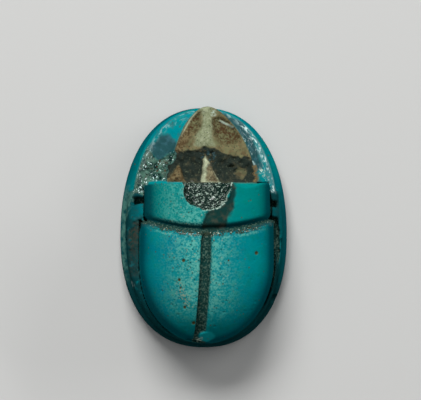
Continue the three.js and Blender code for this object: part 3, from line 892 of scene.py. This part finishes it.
def groove_mask(s):
    """Dirt in the grooves of the back and beside the body, and darker colour in the right leg's gap and
    in the notches.
    """
    groove = s.on_back * fade(0.05, -0.04, s.at(D_GROOVE)) * fade(0.1, 0.26, s.depth) * (1 - s.broken)
    groove *= (1 - s.lump) * fade(0.04, 0.2, s.behind_thorax)
    beside = fade(-0.12, 0.0, s.body) * fade(BODY_GAP, 0.6 * BODY_GAP, s.body) * (1 - s.at(FRONT_LEG))
    beside *= fade(LEG_TOP_Z + 0.25, LEG_TOP_Z - 0.1, s.z) * fade(PLATE_THICKNESS, 2.0, s.z)
    beside *= fade(-5.5, -3.5, s.y)
    leg_gap = s.low * fade(0.02, -0.1, s.at(D_DARK_GAP)) * fade(1.8, 2.2, s.z)
    notch = s.low * fade(0.06, -0.06, s.at(D_NOTCH)) * fade(0.6, 0.45, s.body)
    return np.max([groove, beside, leg_gap, notch], axis=0)


def wear_and_sheen_mask(s):
    """The rubbed inner halves of the wing cases, and a painted sheen along their front edge behind the
    thorax.
    """
    on_thorax = fade(-0.3, 0.1, s.y)
    aside = np.abs(s.x + mix(0.5, 1.2, on_thorax)) / mix(2.15, 1.9, on_thorax)
    rows = fade(-7.2, -4.8, s.y) * (0.7 + 0.3 * fade(1.5, -0.5, s.y))
    rubbed = s.on_back * np.exp(-(aside**3)) * rows * fade(0.3, 0.1, s.depth) * (1 - s.lump)
    # painted sheen along the front edge of the wing cases, behind the groove
    painted_sheen = s.on_back * fade(0.16, 0.24, s.behind_groove) * fade(0.42, 0.3, s.behind_groove)
    painted_sheen *= fade(4.4, 3.2, np.abs(s.x)) * (s.y < wing_front(s.x))
    return np.maximum(rubbed, painted_sheen)


def edge_shade_mask(s):
    """Painted shade on the sloping sides of the back, where the glaze is also thicker, the thorax's rear
    rim, the tail end and the plate's edge.
    """
    # painted shade: the thorax's rear rim, darker towards the tail, and the back's sloping sides
    rear_rim = fade(-0.12, 0.02, s.behind_thorax + THORAX_REAR_INSET) * (s.y > wing_front(s.x))
    tail = 0.4 * fade(-5.0, -8.0, s.y)
    back = s.on_back * np.max([fade(0.7, 2.2, s.at(STEEPNESS)), rear_rim, tail], axis=0)
    # painted shade on the plate's edge, less of it on the right near the head
    plate = fade(-0.9, -0.1, s.at(D_PLATE)) * fade(1.9, 1.5, s.z)
    near_head = s.right_side * fade(2.5, 4.5, s.y)
    return np.maximum(back, plate * mix(0.95, 0.45, near_head))


def glint_mask(s):
    """Pale reflections on the front legs' upper edge, beside the head and on the left hind leg."""
    on_edge = bell(s.arris, 0.17) * fade(2.4, 2.9, s.z) * (1 - s.on_head)
    on_edge *= fade(2.3, 2.7, s.y) * fade(-6.0, 2.5, s.x) * mix(1.0, 0.25, fade(7.1, 7.5, s.y))
    beside_head = bell(s.head - 0.14, 0.07) * fade(4.2, 4.6, s.y) * fade(6.7, 6.2, s.y) * (s.x > 0)
    on_leg = bell(s.x - LEG_GLINT[0], 0.12) * bell(s.y - LEG_GLINT[1], 0.22)
    on_leg *= s.z > PLATE_THICKNESS + 0.2
    return np.max([on_edge, 0.8 * beside_head, on_leg], axis=0)


def back_masks(s):
    edge = s.on_back * fade(-0.22, -0.12, s.behind_groove) * fade(0.22, 0.08, s.behind_groove)
    chip_rim = bell(s.at(D_CHIP) + 0.03, 0.05) * s.on_back * fade(-0.6, 0.2, s.x)
    return {
        "groove": groove_mask(s),
        "wear_and_sheen": wear_and_sheen_mask(s),
        "edge_shade": edge_shade_mask(s),
        "edge": edge * mix(0.3, 1.0, fade(4.4, 3.0, np.abs(s.x))),
        "thorax": s.on_back * fade(0.1, -0.1, s.behind_thorax),
        "broken": s.broken,
        # a pale line along the chip's edge, and painted glints beside the orange strip and at the tail
        "rim": np.maximum(chip_rim, s.patch(D_SPARKS) * (s.z > PLATE_THICKNESS + 0.5)),
        "streak": fade(0.1, -0.15, s.at(D_STREAK)) * s.on_back * (1 - s.broken),
        "tan_rub": s.patch(D_TAN_RUB, 0.15) * s.on_back,
        "pit": fade(0.01, 0.04, s.at(BROWN_PIT_DEPTH)) * s.on_back,
        "lump": s.lump * s.on_back,
    }


def head_masks(s):
    spur = s.at(D_SPUR)
    sunk = s.on_head * fade(0.04, -0.06, s.at(D_BAND)) * fade(-0.05, 0.08, spur)
    stone = s.on_head * (1 - sunk)
    left_rim = bell(s.head + 0.07, 0.06) * fade(5.9, 6.5, s.y) * fade(8.3, 7.9, s.y) * (s.x < 0)
    tan = np.max([s.patch(D_WEDGE), s.patch(D_SPUR_CORE), s.patch(D_HEAD_TAN, 0.2)], axis=0)
    return {
        "bare": s.on_head,
        "sunk": sunk * (1 - s.patch(D_WEDGE)) * (1 - 0.6 * s.patch(D_PALE)),
        "spur": np.maximum(s.on_head * fade(0.08, -0.05, spur), 0.8 * stone * left_rim),
        "keel": stone * s.patch(D_KEEL, 0.15),
        "facet": stone * s.patch(D_FACET, 0.2),
        "tan": s.on_head * tan,
        "flecks": s.on_head * s.patch(D_FLECKS),
        "glassy": s.on_head * s.patch(D_GLASSY),
        "scratch": stone * s.patch(D_SCRATCH, 0.05),
        "orange": s.patch(D_ORANGE) * (1 - s.on_back),
    }


def leg_masks(s):
    inside_rim = np.maximum(fade(-0.02, -0.12, s.at(D_PLATE)), fade(-1.0, -3.0, s.y))
    knob = fade(0.06, -0.06, s.at(D_KNOB)) * fade(2.6, 2.9, s.z)
    lighter_lower_right = fade(5.2, 5.35, s.x) * fade(-5.0, -3.5, s.y)
    brown = s.low * fade(0.1, -0.25, s.at(D_BROWN_LEG)) * fade(2.2, 2.6, s.z)
    foot = s.at(D_FOOT)
    ledge = fade(-0.1, 0.02, foot) * fade(1.2, 1.45, s.z) * fade(2.0, 1.75, s.z)
    notch_wall = fade(-0.7, -0.5, foot) * fade(3.1, 2.9, s.z) * fade(0.5, 0.9, s.y)
    ledge = np.maximum(ledge, notch_wall * fade(2.8, 2.4, s.y) * fade(1.5, 1.7, s.z))
    gloss = mix(0.15, mix(1.0, 0.3, fade(6.9, 7.5, s.y)), s.right_side)
    return {
        "ragged": s.ragged,
        "front": np.maximum(s.front_leg * (1 - s.ragged), knob * (1 - s.on_back)),
        "slate": s.front_leg * s.patch(D_SLATE, 0.15) * (1 - s.ragged),
        # dirt and painted shade on the low parts of the legs and plate, behind the front legs
        "grime_and_shade": s.low * fade(3.0, 2.2, s.y) * inside_rim * (1 - 0.15 * knob) * (1 - 0.45 * lighter_lower_right),
        "brown": brown * mix(0.35, 0.9, fade(-2.5, -0.5, s.y)),
        "ledge": ledge * fade(-4.5, -2.5, s.y) * fade(3.5, 2.0, s.y) * (1 - s.right_side),
        "arris": glint_mask(s),
        "gloss": s.front_leg * bell(s.arris + 0.08, 0.3) * gloss,
    }


def surface_masks(places):
    """Masks in 0..1 at each vertex: where the surface is worn, dirty, broken or bare stone, and where
    shade, sheen and glints are painted.
    """
    s = Surface(places)
    return {**back_masks(s), **head_masks(s), **leg_masks(s)}


# Materials
def linear(r, g, b):
    """A shader colour from an sRGB colour of 0 to 255."""
    def channel(value):
        share = value / 255
        return share / 12.92 if share <= 0.04045 else ((share + 0.055) / 1.055) ** 2.4
    return (channel(r), channel(g), channel(b), 1.0)


GLAZE = linear(0, 128, 131)
GLAZE_GREEN = linear(2, 118, 108)
GLAZE_BRIGHT = linear(20, 156, 160)
GLAZE_DEEP = linear(0, 118, 130)
GLAZE_EDGE_SHADE = linear(0, 62, 72)
GLAZE_GLINT = linear(212, 242, 238)
LEDGE_GREEN = linear(64, 108, 100)
GLAZE_WORN_AND_SHEEN = linear(92, 172, 160)
GLAZE_TAN = linear(136, 146, 122)
GLAZE_PIT = linear(68, 66, 38)
GLAZE_SPECK = linear(8, 60, 60)
RESIDUE = linear(20, 56, 52)
RESIDUE_WARM = linear(80, 104, 92)
STREAK_DARK = linear(20, 44, 40)
GRIME_AND_SHADE = linear(12, 57, 60)
BREAK_DARK = linear(8, 42, 40)
BREAK_LIGHT = linear(76, 112, 98)
EDGE_WORN = linear(42, 54, 42)
LEG_BROWN = linear(60, 58, 48)
SLATE = linear(40, 60, 64)
SLATE_BLUE = linear(54, 92, 102)
STONE_CREAM = linear(120, 128, 98)
STONE_PALE = linear(150, 158, 130)
STONE_WHITE = linear(180, 186, 156)
STONE_BROWN = linear(70, 52, 34)
STONE_OLIVE = linear(102, 104, 74)
STONE_TAN = linear(114, 103, 74)
STONE_ORANGE = linear(116, 98, 66)
STONE_DARK = linear(37, 45, 40)
STONE_DARK_BROWN = linear(66, 66, 52)
CRYSTAL_DARK = linear(9, 33, 27)
CRYSTAL_PALE_AND_GLINT = linear(180, 202, 186)
FLOOR_COLOUR = linear(196, 196, 194)

GLAZE_ROUGHNESS = 0.4
WORN_ROUGHNESS = 0.5
MASK_ROUGHNESS = {
    "edge_shade": 0.75, "gloss": 0.25, "grime_and_shade": 0.7, "edge": 0.3, "groove": 0.6, "brown": 0.5, "streak": 0.35,
    "broken": 0.35, "ragged": 0.5, "bare": 0.7,
}
COAT_ROUGHNESS = 0.12
BUMP_STRENGTH = 0.4
BUMP_DEPTH = 0.04 * MM


class Nodes:
    """Adds shader nodes to one material and joins them."""

    def __init__(self, name):
        self.material = bpy.data.materials.new(name)
        self.material.use_nodes = True
        self.tree = self.material.node_tree
        self.shader = self.tree.nodes["Principled BSDF"]

    def fill(self, node, inputs):
        """Joins or sets inputs of a node, by name or number."""
        for key, value in inputs.items():
            if hasattr(value, "is_output"):
                self.tree.links.new(value, node.inputs[key])
            else:
                node.inputs[key].default_value = value
        return node

    def node(self, kind, inputs, **settings):
        made = self.tree.nodes.new(kind)
        for key, value in settings.items():
            setattr(made, key, value)
        return self.fill(made, inputs)

    def mask(self, name):
        return self.node("ShaderNodeAttribute", {}, attribute_name=name).outputs["Fac"]

    def millimetres(self):
        """The place on the piece in millimetres, which doesn't move with the camera."""
        place = self.node("ShaderNodeTexCoord", {}).outputs["Object"]
        inputs = {0: place, "Scale": 1 / MM}
        return self.node("ShaderNodeVectorMath", inputs, operation="SCALE").outputs[0]

    def shifted(self, place, offset=(3.7, 8.3, 5.1)):
        """The same place moved, so that a second pattern doesn't fall on the first."""
        return self.node("ShaderNodeVectorMath", {0: place, 1: offset}, operation="ADD").outputs[0]

    def arcs(self, place, centre, size):
        """Thin broken arcs around a centre, about one size apart."""
        inputs = {
            "Vector": self.shifted(place, [-part for part in centre]),
            "Scale": 0.31 / size,
            "Distortion": 9.0,
            "Detail": 2.0,
            "Detail Scale": 2.0,
        }
        made = self.node("ShaderNodeTexWave", inputs, wave_type="RINGS", rings_direction="SPHERICAL")
        return made.outputs["Fac"]

    def noise(self, place, size, detail=3.0):
        inputs = {"Vector": place, "Scale": 1 / size, "Detail": detail, "Roughness": 0.6}
        return self.node("ShaderNodeTexNoise", inputs).outputs["Fac"]

    def cells(self, place, size):
        """Distance in cells to the nearest of scattered points, about one in each cell."""
        return self.node("ShaderNodeTexVoronoi", {"Vector": place, "Scale": 1 / size}).outputs["Distance"]

    def dots(self, place, size, radius):
        """Scattered dots, about one in each cell of the given size, of a radius in cells."""
        return self.ramp(self.cells(place, size), radius, radius * 0.6)

    def ramp(self, value, low, high):
        """Zero below low and one above high, smooth between them."""
        inputs = {"Value": value, "From Min": low, "From Max": high}
        return self.node("ShaderNodeMapRange", inputs, interpolation_type="SMOOTHSTEP").outputs[0]

    def maths(self, operation, a, b):
        return self.node("ShaderNodeMath", {0: a, 1: b}, operation=operation).outputs[0]

    def times(self, a, b):
        return self.maths("MULTIPLY", a, b)

    def plus(self, a, b):
        return self.maths("ADD", a, b)

    def larger(self, a, b):
        return self.maths("MAXIMUM", a, b)

    def blend(self, share, a, b):
        """The first colour where the share is zero, and the second where it is one."""
        return self.node("ShaderNodeMix", {0: share, 6: a, 7: b}, data_type="RGBA").outputs[2]

    def layered(self, base, layers):
        """Lays colours over a base in turn. Each layer is a mask, its strength and a colour."""
        for share, strength, colour in layers:
            base = self.blend(self.times(share, strength), base, colour)
        return base

    def blend_value(self, share, a, b):
        return self.node("ShaderNodeMix", {0: share, 2: a, 3: b}, data_type="FLOAT").outputs[0]


def glaze_colour(n, place, mask, mottle, speck):
    """Teal glaze with its rubbed grain and painted sheen, painted shade on sloping sides and edges, dirt
    with painted shade low down, tan and dark specks and brown pits.
    """
    broad = n.noise(place, 2.6, 2.0)
    grain = n.plus(n.times(mottle, 0.7), speck)
    haze = n.plus(n.times(n.ramp(grain, 0.74, 0.98), 0.82), 0.07)
    blotches = n.ramp(n.noise(place, 0.5), 0.5, 0.66)
    return n.layered(n.blend(n.ramp(broad, 0.35, 0.75), GLAZE, GLAZE_DEEP), [
        (n.ramp(mottle, 0.45, 0.75), 0.7, GLAZE_GREEN),
        (mask["thorax"], 0.6, GLAZE_GREEN),
        # painted shade on the sloping sides, rear rim, tail and plate edge, partly thicker glaze
        (mask["edge_shade"], 0.85, GLAZE_EDGE_SHADE),
        (mask["lump"], 0.7, GLAZE_BRIGHT),
        # rubbed glaze, and a painted sheen along the front of the wing cases
        (mask["wear_and_sheen"], haze, GLAZE_WORN_AND_SHEEN),
        (n.times(mask["wear_and_sheen"], n.dots(place, 0.34, 0.2)), 0.7, GLAZE_TAN),
        (n.times(mask["tan_rub"], n.ramp(speck, 0.46, 0.62)), 0.75, GLAZE_TAN),
        (n.times(mask["wear_and_sheen"], n.dots(n.shifted(place), 0.3, 0.27)), 0.7, GLAZE_SPECK),
        (n.dots(place, 0.6, 0.14), 0.6, GLAZE_PIT),
        (mask["pit"], 1.0, GLAZE_PIT),
        (n.times(mask["front"], blotches), 0.5, SLATE_BLUE),
        (mask["slate"], 0.85, n.blend(n.ramp(mottle, 0.48, 0.72), SLATE, SLATE_BLUE)),
        # dirt and painted shade on the low parts of the legs and plate
        (mask["grime_and_shade"], n.ramp(mottle, 0.12, 0.45), GRIME_AND_SHADE),
        (mask["ledge"], n.ramp(mottle, 0.35, 0.6), LEDGE_GREEN),
        (mask["brown"], 1.0, n.blend(n.ramp(speck, 0.4, 0.65), LEG_BROWN, RESIDUE)),
    ])


def stone_colour(n, place, mask, mottle, speck):
    """The bare stone of the broken head."""
    light = n.ramp(n.plus(n.times(mottle, 0.6), n.times(speck, 0.6)), 0.5, 0.75)
    stains = n.ramp(n.noise(n.shifted(place), 0.7, 4.0), 0.46, 0.64)
    dark = n.blend(n.ramp(mottle, 0.48, 0.7), STONE_DARK, STONE_DARK_BROWN)
    dark = n.blend(n.times(n.ramp(speck, 0.6, 0.72), 0.4), dark, STONE_CREAM)
    flecks = n.noise(place, 0.22, 2.0)
    return n.layered(n.blend(light, STONE_OLIVE, STONE_TAN), [
        (stains, 0.55, STONE_BROWN),
        (mask["keel"], 0.85, n.blend(light, STONE_CREAM, STONE_PALE)),
        (mask["facet"], 1.0, n.blend(light, STONE_BROWN, STONE_OLIVE)),
        (mask["spur"], 1.0, n.blend(light, STONE_PALE, STONE_WHITE)),
        (mask["sunk"], 1.0, dark),
        (mask["tan"], 0.85, n.blend(light, STONE_BROWN, STONE_TAN)),
        (n.dots(place, 0.26, 0.24), 0.6, STONE_DARK),
        (n.times(mask["flecks"], 0.45), n.ramp(flecks, 0.52, 0.66), SLATE_BLUE),
        (n.times(mask["flecks"], 0.45), n.ramp(flecks, 0.42, 0.32), STONE_ORANGE),
        (mask["scratch"], 0.65, CRYSTAL_PALE_AND_GLINT),
        # painted glints on the glassy bit
        (mask["glassy"], n.ramp(speck, 0.35, 0.65), CRYSTAL_PALE_AND_GLINT),
    ])


def broken_colours(n, place, mottle, speck):
    """The chip's dark crystal with painted glints, and the mottled, half-glazed break of the left leg
    with painted sparkles.
    """
    # Painted glints: pale dots, flakes and arcs, laid on the chip's dark crystal and on the ragged break
    dots = n.ramp(n.plus(n.cells(place, 0.2), n.times(speck, 0.35)), 0.4, 0.32)
    glint = n.larger(dots, n.ramp(n.noise(place, 0.1, 1.0), 0.6, 0.68))
    patches = n.ramp(n.noise(place, 0.8, 2.0), 0.38, 0.56)
    arcs = n.ramp(n.arcs(place, CHIP_ARCS_CENTRE, 0.22), 0.68, 0.9)
    arcs = n.times(arcs, n.ramp(n.noise(place, 0.22, 1.0), 0.45, 0.6))
    arcs = n.times(arcs, n.plus(n.times(patches, 0.6), 0.4))
    crystal = n.layered(CRYSTAL_DARK, [
        (glint, n.times(patches, 0.45), CRYSTAL_PALE_AND_GLINT),
        (arcs, 0.6, CRYSTAL_PALE_AND_GLINT),
    ])
    ragged = n.layered(n.blend(n.ramp(mottle, 0.38, 0.6), BREAK_DARK, BREAK_LIGHT), [
        (n.ramp(n.noise(place, 0.6, 2.0), 0.52, 0.66), 1.0, RESIDUE_WARM),
        (n.ramp(n.noise(place, 0.4, 2.0), 0.62, 0.7), 1.0, STONE_BROWN),
        # painted sparkles on the ragged break
        (glint, 0.18, CRYSTAL_PALE_AND_GLINT),
        (n.ramp(n.noise(place, 0.17, 1.0), 0.62, 0.68), 0.85, GLAZE_GLINT),
    ])
    return crystal, ragged


def whole_colour(n, place, mask, mottle, speck):
    """The glaze with the dirt, the breaks, the painted glints and the bare stone laid over it."""
    crystal, ragged = broken_colours(n, place, mottle, speck)
    glints = n.ramp(n.noise(place, 0.4, 2.0), 0.48, 0.62)
    return n.layered(glaze_colour(n, place, mask, mottle, speck), [
        (mask["groove"], 1.0, n.blend(n.ramp(speck, 0.45, 0.7), RESIDUE, RESIDUE_WARM)),
        (mask["edge"], n.ramp(speck, 0.4, 0.5), EDGE_WORN),
        # painted glints on the worn front edge of the wing cases
        (mask["edge"], n.ramp(speck, 0.6, 0.72), CRYSTAL_PALE_AND_GLINT),
        (mask["streak"], 0.94, n.blend(n.ramp(mottle, 0.45, 0.75), STREAK_DARK, LEG_BROWN)),
        (mask["ragged"], 1.0, ragged),
        # painted highlights along the front legs' upper edge, beside the head and on the left hind leg
        (mask["arris"], glints, GLAZE_GLINT),
        (mask["broken"], 1.0, crystal),
        (mask["bare"], 1.0, stone_colour(n, place, mask, mottle, speck)),
        # pale line along the chip's edge, and painted glints
        (mask["rim"], n.ramp(speck, 0.4, 0.6), CRYSTAL_PALE_AND_GLINT),
        (mask["orange"], n.ramp(speck, 0.3, 0.5), STONE_ORANGE),
    ])


def roughness(n, mask):
    rough = n.blend_value(mask["wear_and_sheen"], GLAZE_ROUGHNESS, WORN_ROUGHNESS)
    for name, value in MASK_ROUGHNESS.items():
        rough = n.blend_value(mask[name], rough, value)
    return rough


def coat(n, mask, speck):
    """Where a thin clear coat glints: the front legs, the crystals, the glassy bit and worn edges."""
    sparkle = n.times(mask["ragged"], n.ramp(speck, 0.6, 0.68))
    crystals = n.larger(n.times(mask["broken"], 0.35), sparkle)
    shine = n.larger(mask["gloss"], n.larger(crystals, mask["glassy"]))
    return n.larger(shine, n.times(mask["edge"], 0.2))


def glaze_material(mask_names):
    n = Nodes("glazed_steatite")
    place = n.millimetres()
    mottle = n.noise(place, 0.5, 4.0)
    speck = n.noise(place, 0.14, 2.0)
    mask = {name: n.mask(name) for name in mask_names}
    grain = {"Strength": BUMP_STRENGTH, "Distance": BUMP_DEPTH, "Height": n.plus(speck, mottle)}
    n.fill(n.shader, {
        "Base Color": whole_colour(n, place, mask, mottle, speck),
        "Roughness": roughness(n, mask),
        "Specular IOR Level": 0.0,
        "Coat Weight": coat(n, mask, speck),
        "Coat Roughness": COAT_ROUGHNESS,
        "Normal": n.node("ShaderNodeBump", grain).outputs[0],
    })
    return n.material


def scarab_piece():
    mesh = thinned(quad_mesh("dense", *build_places()), MOST_TRIANGLES)
    mesh.name = "scarab_carving"
    masks = surface_masks(vertex_places(mesh))
    for name, values in masks.items():
        layer = mesh.attributes.new(name, "FLOAT", "POINT")
        layer.data.foreach_set("value", values.astype(np.float32))
    mesh.transform(Matrix.Scale(MM, 4))
    mesh.materials.append(glaze_material(masks))
    piece = new_object("scarab_carving", mesh)
    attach(piece, "root")
    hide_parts("scarab")


# Floor, light and camera
FLOOR_SIZE = 1.2
CAMERA_DISTANCE = 0.28
CAMERA_LEFT = math.radians(3.0)
CAMERA_TAILWARD = math.radians(1.5)
PIXELS_PER_MM = 14.0
PHOTO_WIDTH = 421
SENSOR = 36.0
AIM = Vector((0.54 * MM, 2.0 * MM, 0.0))
FLOOR_ROUGHNESS = 0.9
# Name, place, size across and along, and power of each light, which faces the amulet
LIGHTS = [
    ("key", (-0.07, 0.28, 0.31), (0.22, 0.14), 1.92),
    ("overhead", (-0.10, 0.02, 0.45), (0.3, 0.3), 0.3),
    ("glint", (0.27, 0.16, 0.17), (0.26, 0.02), 0.32),
]
WORLD_COLOUR = (0.8, 0.82, 0.85, 1)
WORLD_STRENGTH = 0.15


def floor():
    mesh = bpy.data.meshes.new("floor")
    half = FLOOR_SIZE / 2
    corners = [(-half, -half, 0), (half, -half, 0), (half, half, 0), (-half, half, 0)]
    mesh.from_pydata(corners, [], [(0, 1, 2, 3)])
    n = Nodes("floor_paper")
    n.fill(n.shader, {"Base Color": FLOOR_COLOUR, "Roughness": FLOOR_ROUGHNESS})
    mesh.materials.append(n.material)
    new_object("floor", mesh)


def lights():
    for name, place, size, power in LIGHTS:
        light = bpy.data.lights.new(name, "AREA")
        light.shape = "RECTANGLE"
        light.size, light.size_y = size
        light.energy = power
        made = new_object(name, light)
        made.location = place
        made.rotation_euler = (-Vector(place)).to_track_quat("-Z", "Y").to_euler()
    world = bpy.data.worlds.new("studio")
    world.use_nodes = True
    background = world.node_tree.nodes["Background"]
    background.inputs["Color"].default_value = WORLD_COLOUR
    background.inputs["Strength"].default_value = WORLD_STRENGTH
    bpy.context.scene.world = world
    bpy.context.scene.view_settings.view_transform = "Standard"


def camera():
    data = bpy.data.cameras.new("camera")
    data.sensor_width = SENSOR
    data.lens = SENSOR * CAMERA_DISTANCE / (PHOTO_WIDTH / PIXELS_PER_MM * MM)
    data.clip_start = 0.01
    data.clip_end = 10.0
    obj = new_object("camera", data)
    back = Vector((-math.tan(CAMERA_LEFT), -math.tan(CAMERA_TAILWARD), 1.0)).normalized()
    obj.location = AIM + back * CAMERA_DISTANCE
    side = Vector((0, 1, 0)).cross(back).normalized()
    up = back.cross(side)
    obj.rotation_euler = Matrix((side, up, back)).transposed().to_euler()
    bpy.context.scene.camera = obj


camera()
scarab_piece()
floor()
lights()
